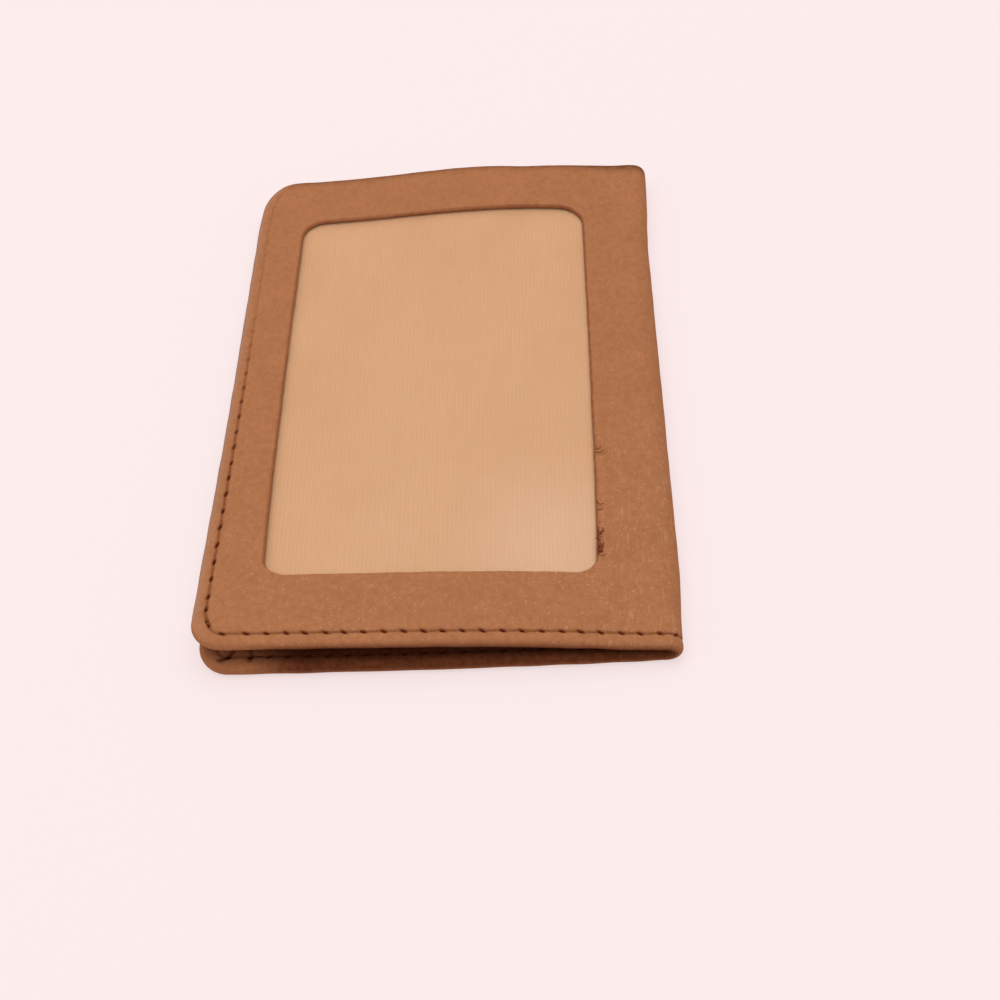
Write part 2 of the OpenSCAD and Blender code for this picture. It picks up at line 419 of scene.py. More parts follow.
def makeThread(name, darkPly, lightPly, farPly):
    # Bonded polyester sewing thread, dyed brown to match the hide: two plies with a slight gloss.
    material, tree, place = newMaterial(name)
    fibre = grained(tree, place, (1, 1, 1), 0.25)
    far = addNode(tree, "ShaderNodeSeparateXYZ", {0: place}, 1)
    colour = toned(tree, darkPly, lightPly, (fibre, 0.35, 0.65))
    return finished(material, tree, {
        "Base Color": toned(tree, colour, farPly, (far, -0.01, 0.03, 0.0, 0.7)),
        "Roughness": strength(tree, (fibre, 0.3, 0.7, 0.6, 0.75)),
        "Specular IOR Level": 0.2,
    })


def makeFibre():
    # Loose flesh-side fibres of the hide, dark where the edge dye has soaked in.
    material, tree, place = newMaterial("loosenedHideFibre")
    colour = toned(tree, "#6A220A", "#8A421C", (grained(tree, place, (1, 1, 1), 0.4), 0.35, 0.65))
    return finished(material, tree, {"Base Color": colour, "Roughness": 0.8, "Specular IOR Level": 0.1})


def makeBoard():
    # Bonded leatherboard: pressed grey-tan fibre with darker shreds.
    material, tree, place = newMaterial("bondedLeatherboard")
    shreds = grained(tree, place, (1, 0.3, 1), 0.8, 3.0, 0.6)
    return finished(material, tree, {
        "Base Color": toned(tree, "#A89A86", "#86755F", (shreds, 0.4, 0.7)),
        "Roughness": 0.85,
        "Normal": addNode(tree, "ShaderNodeBump", {"Strength": 0.3, "Distance": 0.0001, "Height": shreds}),
    })


nubuck = makeNubuck()
pocketLeather = makePocketLeather()
ribbedCloth = makeRibbedCloth()
vinyl = makeVinyl()
needleFinish = makeThread("bondedPolyesterNeedleThread", "#84491F", "#96592F", "#A66A42")
# the bobbin thread lies in the shaded gap between the leaves, so its copy of the thread is painted darker as
# shade
shadedBobbinFinish = makeThread("bondedPolyesterBobbinThreadInShade", "#40200E", "#4E2A14", "#4E2A14")
fibreFinish = makeFibre()
boardFinish = makeBoard()
print("materials made")

# Mesh tools


def linked(name, data):
    thing = bpy.data.objects.new(name, data)
    scene.collection.objects.link(thing)
    return thing


class Patchwork:
    # gathers points and faces of one closed piece, in leaf places, with four shades at each point
    def __init__(self):
        self.points = []
        self.shades = []
        self.faces = []
        self.count = 0

    def add(self, points, *shades):
        points = np.asarray(points, float).reshape(-1, 3)
        n = len(points)
        self.points.append(points)
        every = (shades + (0.0, 0.0, 0.0, 0.0))[:4]
        self.shades.append(np.stack([np.broadcast_to(shade, n) for shade in every], -1))
        self.count += n
        return np.arange(self.count - n, self.count)

    def grid(self, rows, closed=False):  # rows of point numbers, joined row to row
        rows = np.asarray(rows)
        nxt = np.roll(rows, -1, axis=1) if closed else rows[:, 1:]
        now = rows if closed else rows[:, :-1]
        quads = np.stack([now[:-1], nxt[:-1], nxt[1:], now[1:]], -1).reshape(-1, 4)
        self.faces.extend(map(tuple, quads.tolist()))

    def build(self, name, place, material, fillOpen=True, smoothAngle=50):
        points = np.concatenate(self.points)
        shades = np.concatenate(self.shades)
        mesh = bpy.data.meshes.new(name)
        mesh.from_pydata((place(*points.T) * metre).tolist(), [], self.faces)
        for k, title in enumerate(("seamShade", "cutShade", "innerShade", "wornShade")):
            values = shades[:, k].astype(np.float32)
            mesh.attributes.new(title, "FLOAT", "POINT").data.foreach_set("value", values)
        bm = bmesh.new()
        bm.from_mesh(mesh)
        bmesh.ops.remove_doubles(bm, verts=bm.verts, dist=2e-6)
        edges = [e for e in bm.edges if e.is_boundary] if fillOpen else []
        if edges:
            made = bmesh.ops.holes_fill(bm, edges=edges, sides=0)
            bmesh.ops.triangulate(bm, faces=made["faces"])
        bmesh.ops.recalc_face_normals(bm, faces=bm.faces)
        bm.to_mesh(mesh)
        bm.free()
        mesh.shade_smooth()
        mesh.set_sharp_from_angle(angle=math.radians(smoothAngle))
        mesh.materials.append(material)
        return linked(name, mesh)


def arcPoints(cu, cv, radius, start, end, count):
    angle = np.radians(np.linspace(start, end, count))
    return np.stack([cu + radius * np.cos(angle), cv + radius * np.sin(angle)], -1)


def runAlong(line):  # length of a line up to each of its points
    return np.concatenate([[0], np.cumsum(np.linalg.norm(np.diff(line, axis=0), axis=1))])


def resampled(line, count):
    line = np.asarray(line, float)
    run = runAlong(line)
    at = np.linspace(0, run[-1], count)
    return np.stack([np.interp(at, run, line[:, k]) for k in range(2)], -1)


rimSamples = {"side": 280, "arc": 26, "outer": 450}


def rimLine(inset):  # round three sides of a leaf, from the near end of its crease to the far one
    nearRadius = max(wallet["nearCorner"] - inset, 0.8)
    farRadius = max(wallet["farCorner"] - inset, 0.8)
    edge = half - inset
    nearMiddle = (inset + nearRadius, nearRadius - edge)
    farMiddle = (inset + farRadius, edge - farRadius)
    nSide, nArc, nOuter = rimSamples["side"], rimSamples["arc"], rimSamples["outer"]
    near = np.stack([np.linspace(wallet["crease"], nearMiddle[0], nSide), np.full(nSide, -edge)], -1)
    outer = np.stack([np.full(nOuter, inset), np.linspace(nearMiddle[1], farMiddle[1], nOuter)], -1)
    far = np.stack([np.linspace(farMiddle[0], wallet["crease"], nSide), np.full(nSide, edge)], -1)
    return np.concatenate([
        near,
        arcPoints(*nearMiddle, nearRadius, 270, 180, nArc)[1:],
        outer[1:],
        arcPoints(*farMiddle, farRadius, 180, 90, nArc)[1:],
        far[1:],
    ])


def triangulated(outline, holes, spacing, seed):
    # triangles that fill an outline, with points strewn inside it; returns points and triangles
    loops = [np.asarray(outline, float)] + [np.asarray(h, float) for h in holes]
    fixed = np.concatenate(loops)
    edges, start = [], 0
    for loop in loops:
        n = len(loop)
        edges += [(start + i, start + (i + 1) % n) for i in range(n)]
        start += n
    low, high = loops[0].min(0), loops[0].max(0)
    rows = np.arange(low[1] + spacing * 0.7, high[1] - spacing * 0.5, spacing * 0.87)
    rng = np.random.default_rng(seed)
    strewn = []
    for k, v in enumerate(rows):
        us = np.arange(low[0] + spacing * (0.7 + 0.5 * (k % 2)), high[0] - spacing * 0.5, spacing)
        strewn.append(np.stack([us, np.full(len(us), v)], -1))
    strewn = np.concatenate(strewn)
    strewn = strewn + rng.uniform(-0.06, 0.06, strewn.shape) * spacing
    inside = insideLoop(strewn, loops[0])
    for hole in loops[1:]:
        inside &= ~insideLoop(strewn, hole)
    gaps = np.full(len(strewn), 1e9)
    for part in np.array_split(fixed, 20):
        gaps = np.minimum(gaps, np.linalg.norm(strewn[:, None] - part[None], axis=2).min(1))
    strewn = strewn[inside & (gaps > spacing * 0.45)]
    every = np.concatenate([fixed, strewn])
    found = delaunay_2d_cdt([Vector(p) for p in every], edges, [], 0, 1e-6)
    points = np.array([tuple(p) for p in found[0]])
    tris = np.array([f for f in found[2] if len(f) == 3])
    given = np.zeros(len(every), int)
    for new, old in enumerate(found[3]):
        given[list(old)] = new
    walls = {frozenset((int(given[a]), int(given[b]))) for a, b in edges}
    return points, tris[withinWalls(points, tris, walls, loops)]


def withinWalls(points, tris, walls, loops):
    # spreads from the plainly inner triangles without crossing a wall, so flat slivers on an edge are kept
    corners = points[tris]
    a, b = corners[:, 1] - corners[:, 0], corners[:, 2] - corners[:, 0]
    size = np.abs(a[:, 0] * b[:, 1] - a[:, 1] * b[:, 0])
    middle = corners.mean(1)
    inside = insideLoop(middle, loops[0])
    for hole in loops[1:]:
        inside &= ~insideLoop(middle, hole)
    keep = inside & (size > np.median(size[inside]) * 0.2)
    owners = {}
    for k, tri in enumerate(tris.tolist()):
        for edge in ((tri[0], tri[1]), (tri[1], tri[2]), (tri[2], tri[0])):
            owners.setdefault(frozenset(edge), []).append(k)
    links = [[] for _ in tris]
    for edge, pair in owners.items():
        if len(pair) == 2 and edge not in walls:
            links[pair[0]].append(pair[1])
            links[pair[1]].append(pair[0])
    todo = list(np.flatnonzero(keep))
    while todo:
        for other in links[todo.pop()]:
            if not keep[other]:
                keep[other] = True
                todo.append(other)
    return keep


def insideLoop(points, loop):
    inside = np.zeros(len(points), bool)
    for (ax, ay), (bx, by) in zip(loop, np.roll(loop, -1, axis=0)):
        if ay == by:
            continue
        crosses = (ay > points[:, 1]) != (by > points[:, 1])
        inside ^= crosses & (points[:, 0] < (bx - ax) * (points[:, 1] - ay) / (by - ay) + ax)
    return inside


# The seam

seam = {
    "inset": 1.95,
    "farInset": 1.35,
    "firstFromCrease": 0.6,
    "sidePitch": 2.72,
    "sideStitches": 22,
    "cornerHoles": (64.0, 64.6, 67.0),
    "cornerAt": 63.9,
    "cornerCut": 0.5,
    "outerFrom": 69.05,
    "outerPitch": 3.28,
    "outerStitches": 27,
    "wander": 0.13,
    "farRun": (66.0, 6.0),
    "holeFade": (0.12, (-30.0, 25.0), 0.68, (-12.0, 34.0)),
    "grooveDepth": 0.1,
    "grooveWidth": 0.17,
    "holeDepth": 0.34,
    "holeLength": 0.36,
    "holeWidth": 0.13,
    "holeSlant": 28,
    "outerSlant": 14,
    "slantWander": 9,
    "holeSizes": (0.72, 1.08),
    "pillow": 0.02,
    "pillowPlace": (0.75, 0.45),
    "threadRadius": 0.12,
    "threadDepth": 0.12,
    "bendStitches": 4,
}


def seamRun():  # length of the seam to each sample of the rim line
    line = rimLine(seam["inset"])
    return runAlong(line), line


def seamInset(run):  # the seam cuts the near corner a little, and runs closer to the rim along the far side
    reach, turn = seam["farRun"]
    far = ease((run - (seamRun()[0][-1] - reach)) / turn)
    return mixed(seam["inset"], seam["farInset"], far) + seam["cornerCut"] * bell(run, seam["cornerAt"], 1.5)


def seamHoles(seed):
    run, _ = seamRun()
    total = run[-1]
    side = seam["firstFromCrease"] + seam["sidePitch"] * np.arange(seam["sideStitches"] + 1)
    side[-1] += 0.45
    outer = seam["outerFrom"] + seam["outerPitch"] * np.arange(seam["outerStitches"] + 1)
    far = mixed(outer[-1], total - side[-1], 0.5)
    holes = np.concatenate([side, seam["cornerHoles"], outer, [far], (total - side)[::-1]])
    rng = np.random.default_rng(seed)
    wander = rng.uniform(-seam["wander"], seam["wander"], len(holes))
    wander[0] = wander[-1] = 0
    return holes + wander


def seamFarFade(v):  # the holes are shallower and their painted shade weaker towards the far side
    little, first, most, second = seam["holeFade"]
    return 1 - little * over(v, first) - most * over(v, second)


def seamRelief(run, across, holes, slant, holeFade=1.0):
    # height of the leather by the seam and its painted shade, darkest in the holes, at places given along and
    # across it
    groove = np.exp(-((across / seam["grooveWidth"]) ** 2) / 2)
    nearest = np.abs(run[..., None] - holes).argmin(-1)
    along = run - holes[nearest]
    rng = np.random.default_rng(len(holes))
    slant = np.radians(slant + rng.uniform(-seam["slantWander"], seam["slantWander"], len(holes))[nearest])
    size = rng.uniform(*seam["holeSizes"], len(holes))[nearest]
    longWay = (along * np.cos(slant) + across * np.sin(slant)) / size
    shortWay = -along * np.sin(slant) + across * np.cos(slant)
    hole = np.exp(-((longWay / seam["holeLength"]) ** 2) / 2 - ((shortWay / seam["holeWidth"]) ** 2) / 2)
    gap = np.diff(holes).mean()
    pillow = seam["pillow"] * bell(np.abs(across), *seam["pillowPlace"]) * (1 - bell(along, 0, gap / 4))
    height = pillow - seam["grooveDepth"] * groove * np.minimum(1, 0.2 + holeFade)
    height = height - seam["holeDepth"] * hole * holeFade
    # painted shade, darkest in the holes and faint along the groove
    shade = np.clip(1.8 * hole + 0.5 * groove, 0, 1) * holeFade
    return height, shade


# Covers

cover = {
    "plateInset": 6.3,
    "skinRings": (
        6.3, 5.6, 4.9, 4.3, 3.8, 3.4, 3.0, 2.72, 2.5, 2.34, 2.2, 2.08, 1.95, 1.82, 1.7, 1.56, 1.4, 1.2,
    ),
    "rollSteps": 14,
    "hemRings": (1.2, 1.4, 1.58, 1.72, 1.84, 1.95, 2.06, 2.18, 2.32, 2.55, 2.9, 3.4, 4.1, 4.9, 5.7, 6.4, 6.8),
    "insideRings": (6.9, 5.0, 3.0, 1.5),
    "skinInsideRings": (1.5, 3.0, 5.0, 6.3),
    "unevenness": 0.035,
    "rimWander": 0.04,
    "rippleSize": 9.0,
    "hemLip": (6.96, 0.08),  # where the hem's raw edge ends, and how far it is skived there
}
pleat = {"centre": 8.2, "height": 0.16, "ridges": 6.5, "span": (1.2, 2.5)}
# painted shade along the far rim, where it rolls away from the light
farRimShading = {
    "side": (40.0, 8.0),
    "outer": (3.0, 5.0),
    "fold": (52.0, 8.0),
    "share": 0.66,
    "foldMore": 0.2,
    "reach": 3.4,
    "nick": 0.3,
    "nickPlace": (20.6, 0.8),
}


def pleats(u, v):
    # gathers of the turned-in hem, which fan out from the inside of each outer corner
    cu, cv = pleat["centre"], half - pleat["centre"]
    height = 0.0
    for side in (-1, 1):
        dv = (v - side * cv) * side
        du = cu - u
        angle = np.arctan2(dv, du)
        reach = np.hypot(du, dv)
        fan = ease((angle + 0.1) / 0.25) * ease((math.pi / 2 + 0.1 - angle) / 0.25)
        fold = np.abs(np.sin(angle * pleat["ridges"] + 0.6 * np.sin(reach * 0.9 + side))) ** 0.7
        height = height + fan * over(reach, pleat["span"]) * (fold - 0.62) * pleat["height"] * 1.6
    return height


def farRimShade(u, v, inset):  # painted shade on the far rim, which rolls away from the light, darker still at one nick
    far = over(v, farRimShading["side"]) * over(u, farRimShading["outer"])
    nick = farRimShading["nick"] * bell(u, *farRimShading["nickPlace"]) * float(ease(1.6 - inset))
    dark = farRimShading["share"] + farRimShading["foldMore"] * over(u, farRimShading["fold"])
    return far * (dark * float(ease(1 - inset / farRimShading["reach"])) + nick)


def innerShade(face, share):  # painted shade: the turned edge darkens as it rolls under, and its hem and hidden inside are dark throughout
    return {"skin": 0.0, "roll": float(ease((share - 0.03) / 0.72))}.get(face, 1.0)


def nearCornerLessShade(u, v):  # the painted shade of the turned edge is lighter round the near outer corner, which stands in more light
    return 1 - 0.8 * ease((-v - 24) / 20) * ease((15 - u) / 9)


def turnedSection(hem):
    # Closed section of the turned leather. Each row has its inset, its depth as a share of the leaf's
    # thickness and as millimetres more, how far its unevenness moves it out and in, and its face.
    skin = wallet["skin"]
    rows = [(inset, 0.0, 0.0, 0.0, -1.0, "skin") for inset in cover["skinRings"]]
    for k in range(cover["rollSteps"] + 1):
        across, down = math.sin(math.pi * k / cover["rollSteps"]), math.cos(math.pi * k / cover["rollSteps"])
        rows.append((wallet["roll"] * (1 - across), (1 - down) / 2, 0.0, across, -down, "roll"))
    rows += [(inset, 1.0, 0.0, 0.0, 1.0, "hem") for inset in cover["hemRings"]]
    hidden = [(cover["hemLip"][0], 1.0, -cover["hemLip"][1])]
    hidden += [(inset, 1.0, -hem) for inset in cover["insideRings"]]
    hidden += [(0.95, 1.0, -hem - 0.15), (0.82, 0.5, (skin - hem) / 2), (0.95, 0.0, skin + 0.12)]
    hidden += [(inset, 0.0, skin) for inset in cover["skinInsideRings"]]
    return rows + [row + (0.0, 0.0, None) for row in hidden]


def coverStrip(work, layers, holes, seed):
    # the C-shaped turned edge, swept round three sides
    run, _ = seamRun()
    rows = []
    for inset, share, more, outward, inward, face in turnedSection(wallet["hem"]):
        line = rimLine(inset)
        u, v = line.T
        across = inset - seamInset(run)
        # painted shade of the turned edge, where it rolls under
        inner = innerShade(face, share)
        lift, shade, worn = 0.0, 0.0, 0.0
        if face:
            lift = cover["unevenness"] * ripple(u, v, cover["rippleSize"], seed)
        if face == "skin":
            slant = mixed(seam["holeSlant"], seam["outerSlant"], ease((5 - u) / 2.5))
            extra, shade = seamRelief(run, across, holes, slant, seamFarFade(v))
            lift = lift + extra
        if face == "hem":
            extra, shade = seamRelief(run, across, holes, -seam["holeSlant"])
            lift = lift + extra + pleats(u, v) * ease((inset - 0.2) / 1.0)
        if face:
            wobble = cover["rimWander"] * ripple(run, 0.0, 7.0, seed + 1) * ease(1 - (inset - 0.3) / 1.5)
            lift = lift + wobble * (1.0 if face == "roll" else 0.4)
        if face in ("skin", "roll"):
            inner = np.maximum(inner, farRimShade(u, v, inset))
            # a paler band along the outer rim: dust on the nap, with a painted sheen where the rim curves
            # away
            worn = 0.8 * ease((6 - u) / 4) * ease((v + half - 1.5) / 5) * float(ease(1.0 - inset / 1.3))
            worn = worn * (1 - inner)
        if face == "hem" or (face == "roll" and np.max(inner) > 0.3):
            inner = inner * nearCornerLessShade(u, v)
        if face == "hem":
            # painted shade in the valleys of the hem's pleats
            inner = np.clip(inner - 1.6 * np.minimum(pleats(u, v), 0) / pleat["height"] * (1 - inner), 0, 1)
        moved = rimShift(line, lift * outward)
        depth = leafThickness(u, layers) * share + more + lift * inward
        rows.append(work.add(np.column_stack([moved, depth]), shade, 0.0, inner, worn))
    work.grid(rows)


def rimShift(line, out):
    # moves the samples of a rim line outwards by the given amounts
    step = np.gradient(line, axis=0)
    length = np.maximum(np.linalg.norm(step, axis=1), 1e-9)
    outward = np.stack([-step[:, 1], step[:, 0]], -1) / length[:, None]
    middle = np.array([wallet["crease"], 0.0])  # the middle of the leaf's fold lies inside every ring
    towards = np.sign(((line - middle) * outward).sum(1))
    return line + outward * (towards * out)[:, None]


windowCut = {
    "outer": 9.1,
    "fold": 8.9,
    "near": 12.2,
    "far": 12.0,
    "nearRadius": 3.2,
    "farRadius": 4.0,
    "samples": 560,
    "outerSpread": 0.95,  # the cut sides have spread a little towards the far end
    "foldSpread": 0.75,
    "spreadOver": 22.0,
    # the raw cut, from the outer face to the inner: how far out from the edge, how deep, and how dark, where
    # the darkness is the raw cut's own colour and painted shade
    "bevel": (
        (1.3, 0.0, 0.0), (1.0, 0.0, 0.0), (0.7, 0.0, 0.0), (0.48, 0.01, 0.0), (0.36, 0.03, 0.3),
        (0.26, 0.08, 0.8), (0.16, 0.16, 1.0), (0.07, 0.27, 1.0), (0.0, 0.42, 1.0), (0.0, 0.62, 1.0),
        (0.06, 0.7, 1.0), (0.6, 0.7, 0.2), (1.3, 0.7, 0.0),
    ),
}


def windowSides(v):  # where the outer and the fold-side cut lie
    spread = 1 - np.exp(-np.clip(v + half - windowCut["near"], 0, None) / windowCut["spreadOver"])
    return (windowCut["outer"] - windowCut["outerSpread"] * spread,
            wallet["crease"] - windowCut["fold"] + windowCut["foldSpread"] * spread)


def windowLoop(offset):  # round the window, offset out from its edge
    left = windowCut["outer"] - offset
    right = wallet["crease"] - windowCut["fold"] + offset
    low = windowCut["near"] - half - offset
    high = half - windowCut["far"] + offset
    r, f = windowCut["nearRadius"] + offset, windowCut["farRadius"] + offset
    corners = (
        (right - r, low + r, r, -90, 0),
        (right - f, high - f, f, 0, 90),
        (left + f, high - f, f, 90, 180),
        (left + r, low + r, r, 180, 270),
    )
    line = np.concatenate([arcPoints(cu, cv, radius, a, b, 24) for cu, cv, radius, a, b in corners])
    line = resampled(np.concatenate([line, line[:1]]), windowCut["samples"] + 1)[:-1]
    outer, fold = windowSides(line[:, 1])
    share = np.clip((line[:, 0] - left) / (right - left), 0, 1)
    line[:, 0] += mixed(outer - windowCut["outer"], fold - (wallet["crease"] - windowCut["fold"]), share)
    return line


def plateOutline():
    rim = rimLine(cover["plateInset"])
    edge = half - cover["plateInset"]
    crease = np.stack([np.full(210, wallet["crease"]), np.linspace(edge, -edge, 212)[1:-1]], -1)
    return np.concatenate([rim, crease])


def addPlate(work, outline, holes, depth, spacing, seed, uneven):
    points, tris = triangulated(outline, holes, spacing, seed)
    lift = 0.0 if uneven is None else cover["unevenness"] * ripple(*points.T, cover["rippleSize"], uneven)
    numbers = work.add(np.column_stack([points, np.full(len(points), depth) - lift]))
    work.faces.extend(map(tuple, numbers[tris].tolist()))


def addBevel(work):
    # the raw cut of the window: a dark bevel on three sides, hardly any on the near one, darkened by its own
    # raw colour and by painted shade
    rows = []
    middle = (mixed(windowCut["outer"], wallet["crease"] - windowCut["fold"], 0.5), 0.0)
    for offset, depth, tone in windowCut["bevel"]:
        loop = windowLoop(offset)
        u, v = loop.T
        near = ease((windowCut["near"] - half + 2.2 - v) / 2.0) * (offset < 0.8)
        if 0 < offset < 0.8 and depth < 0.65:
            loop = mixed(loop, windowLoop(offset * 0.4), near[:, None])
        if offset < 0.5 and depth < 0.65:
            ragged = 0.05 * ripple(u, v, 1.4, 31) + 0.06 * ripple(u, v, 6.0, 32)
            loop = loop + unit(loop - middle) * ragged[:, None]
        lift = cover["unevenness"] * ripple(u, v, cover["rippleSize"], 11) if depth < 0.05 else 0.0
        # how dark the cut is painted, for its raw colour and painted shade: darker on the fold side, uneven
        # along the cut
        darkening = mixed(0.4, 0.85, ease((u - 40) / 12)) * (1 + 0.45 * ripple(u, v, 1.3, 33))
        shade = np.clip(tone * darkening, 0, 1) * (1 - 0.75 * near * (depth < 0.4))
        deep = depth * (mixed(1.0, 0.4, near) if depth < 0.5 else np.ones(len(u)))
        rows.append(work.add(np.column_stack([loop, deep - lift]), 0.0, shade))
    work.grid(rows, closed=True)


def makeFrontCover(holes):
    work = Patchwork()
    coverStrip(work, frontLayers, holes, 11)
    wide = windowLoop(windowCut["bevel"][0][0])
    addPlate(work, plateOutline(), [wide], 0.0, 1.3, 21, 11)
    addPlate(work, plateOutline(), [wide], wallet["skin"], 2.2, 22, None)
    addBevel(work)
    return work.build("frontCover", placeFront, nubuck)


def makeBackCover(holes):
    work = Patchwork()
    coverStrip(work, backLayers, holes, 12)
    addPlate(work, plateOutline(), [], 0.0, 1.8, 23, 12)
    addPlate(work, plateOutline(), [], wallet["skin"], 3.0, 24, None)
    return work.build("backCover", placeBack, nubuck)


# How deep the layers of each leaf reach, before they are pressed
frontLayers = 1.8
backLayers = 2.2
frontHoles = seamHoles(41)
backHoles = seamHoles(42)
frontCover = makeFrontCover(frontHoles)
backCover = makeBackCover(backHoles)
print("covers made", len(frontCover.data.polygons), len(backCover.data.polygons))

# The leather and the lining of the bend

bend = {
    "steps": 22,
    "across": 150,
    "hem": 0.4,
    "liningSteps": 16,
    "liningRows": 120,
    "liningInset": 1.05,
    "liningDepths": (0.75, 0.95),
}
# From start to end the bend turns from one body to the next; the hem's inner face lies just past both.
lowerBend = {"start": (31.35, 1.95), "end": (31.97, 2.54)}
upperBend = {"start": (31.84, 2.03), "end": (31.35, 2.45)}


def bendInset(side):
    return seam["farInset"] if side > 0 else seam["inset"]


def bendHoles():
    # seam holes on the bend, as lengths from the back leaf's crease along the outer face
    length = math.pi * wallet["thick"] / 2
    first = -seam["firstFromCrease"]
    pitch = (length + 2 * seam["firstFromCrease"]) / seam["bendStitches"]
    return first + pitch * np.arange(seam["bendStitches"] + 1), length


def makeBendLeather(name, turnFrom, turnTo, seed):
    work = Patchwork()
    holes, length = bendHoles()
    turns = np.linspace(turnFrom, turnTo, bend["steps"])
    fade = np.sin(np.pi * turns) ** 0.5
    borders = {}
    for side in (-1, 1):
        rows = []
        for inset, share, more, outward, inward, face in turnedSection(bend["hem"]):
            # painted shade of the turned edge, where it rolls under
            lift, shade, inner = 0.0, 0.0, innerShade(face, share)
            if face in ("skin", "hem"):
                slant = side * (seam["holeSlant"] if face == "skin" else -seam["holeSlant"])
                across = inset - bendInset(side)
                lift, shade = seamRelief(turns * length, across, holes, slant, seamFarFade(side * half))
            if face:
                uneven = ripple(turns * 9.0, side * (half - inset), 7.0, seed)
                lift = lift + fade * cover["unevenness"] * uneven
            if face in ("skin", "roll"):
                inner = np.maximum(inner, farRimShade(wallet["crease"], side * half, inset))
            v = side * (half - inset + lift * outward)
            depth = share * wallet["foldEdge"] + more + lift * inward
            points = np.stack(np.broadcast_arrays(turns, v, depth), -1)
            rows.append(work.add(points, shade, 0.0, inner))
        work.grid(rows)
        borders[side] = (rows[0], rows[-1])
    for k, depth in ((0, 0.0), (1, wallet["skin"])):
        rows = [borders[-1][k]]
        for v in np.linspace(-1, 1, bend["across"])[1:-1] * (half - cover["plateInset"]):
            lift = fade * cover["unevenness"] * ripple(turns * 9.0, v, 7.0, seed) if k == 0 else 0.0
            rows.append(work.add(np.stack(np.broadcast_arrays(turns, v, depth - lift), -1)))
        rows.append(borders[1][k])
        work.grid(rows)
    return work.build(name, placeBend, nubuck)


def makeBendLining(name, turnFrom, turnTo):
    work = Patchwork()
    turns = np.linspace(turnFrom, turnTo, bend["liningSteps"])
    edge = half - bend["liningInset"]
    vs = np.linspace(-edge, edge, bend["liningRows"])
    outer, inner = bend["liningDepths"]
    rows = []
    for places, depth in ((vs, outer), (vs[::-1], inner)):
        rows += [work.add(np.stack(np.broadcast_arrays(turns, v, depth), -1)) for v in places]
    work.grid(rows + rows[:1])
    return work.build(name, placeBend, ribbedCloth, smoothAngle=40)


bendLower = makeBendLeather("bendLeatherLower", 0.0, 0.5, 13)
bendUpper = makeBendLeather("bendLeatherUpper", 0.5, 1.0, 13)
bendLiningLower = makeBendLining("bendLiningLower", 0.0, 0.5)
bendLiningUpper = makeBendLining("bendLiningUpper", 0.5, 1.0)
print("bend made")

# Layers inside the leaves


def mouthCurve(endU, span, dip, v):  # where a pocket's mouth lies, which curves in by dip at its middle
    radius = (span ** 2 / 4 + dip ** 2) / (2 * dip)
    return endU - dip + radius - np.sqrt(radius ** 2 - v ** 2)


def evenLoop(line, step=0.5):
    return resampled(line, int(runAlong(line)[-1] / step))[:-1]


def blankOutline(inset, endU, mouthSpan=None, dip=1.4):
    # outline of a layer that lies in the turned edges, with a straight end or a mouth that curves in
    r, f = wallet["nearCorner"] - inset, wallet["farCorner"] - inset
    edge = half - inset
    mouth = [(endU, -edge), (endU, edge)]
    if mouthSpan:
        vs = np.linspace(-mouthSpan / 2, mouthSpan / 2, 60)
        mouth[1:1] = zip(mouthCurve(endU, mouthSpan, dip, vs), vs)
    return evenLoop(np.concatenate([
        np.array(mouth),
        arcPoints(inset + f, edge - f, f, 90, 180, 12),
        arcPoints(inset + r, r - edge, r, 180, 270, 12),
        np.array(mouth)[:1],
    ]))


def rectOutline(uFrom, uTo, reach, dip=0.0):
    vs = np.linspace(-reach, reach, 60)
    end = mouthCurve(uTo, 2 * reach, dip, vs) if dip else np.full(60, uTo)
    rest = [(uFrom, reach), (uFrom, -reach), (end[0], -reach)]
    return evenLoop(np.concatenate([np.stack([end, vs], -1), rest]))


def insetLoop(loop, amount):
    step = np.roll(loop, -1, axis=0) - np.roll(loop, 1, axis=0)
    normal = np.stack([step[:, 1], -step[:, 0]], -1)
    normal /= np.maximum(np.linalg.norm(normal, axis=1), 1e-9)[:, None]
    area = (loop[:, 0] * np.roll(loop[:, 1], -1) - np.roll(loop[:, 0], -1) * loop[:, 1]).sum()
    return loop - normal * amount * np.sign(area)


def pressedPlace(place, shape):  # puts a layer in its leaf, pressed, after its own shape has moved it
    def at(u, v, depth):
        return place(u, v, pressed(u, depth if shape is None else shape(u, v, depth)))

    return at


def makeLayer(
    name, outline, depth, thick, place, material, spacing, seed, waves=0.0, edgeShade=1.0, shape=None
):
    # a thin sheet with rounded edges, pressed between the leathers
    work = Patchwork()
    soft = min(0.12, thick * 0.35)
    inner = insetLoop(outline, soft)
    points, tris = triangulated(inner, [], spacing, seed)
    for level in (0.0, thick):
        uneven = waves * ripple(*points.T, waveSize, seed)
        numbers = work.add(np.column_stack([points, depth + level + uneven]))
        work.faces.extend(map(tuple, numbers[tris].tolist()))
    rim = (
        (inner, 0.0, 0.0),
        (outline, soft, edgeShade),
        (outline, thick - soft, edgeShade),
        (inner, thick, 0.0),
    )
    wave = waves * ripple(*inner.T, waveSize, seed)
    rows = [work.add(np.column_stack([loop, depth + level + wave]), 0.0, tone) for loop, level, tone in rim]
    work.grid(rows, closed=True)
    return work.build(name, pressedPlace(place, shape), material, smoothAngle=40)


mouthU = 61.6
rearMouth = 51.0
frontMouth = 40.4
pocketSpan = wallet["height"] - 2 * wallet["hemWidth"]
slotHalf = 44.55
waveSize = 17.0


def liningDrop(u, v, depth):  # the lining steps down from the board to the leather beside the fold
    drop = np.clip((u - 60.6) / 1.0, 0, 1)
    return depth - 0.4 * drop


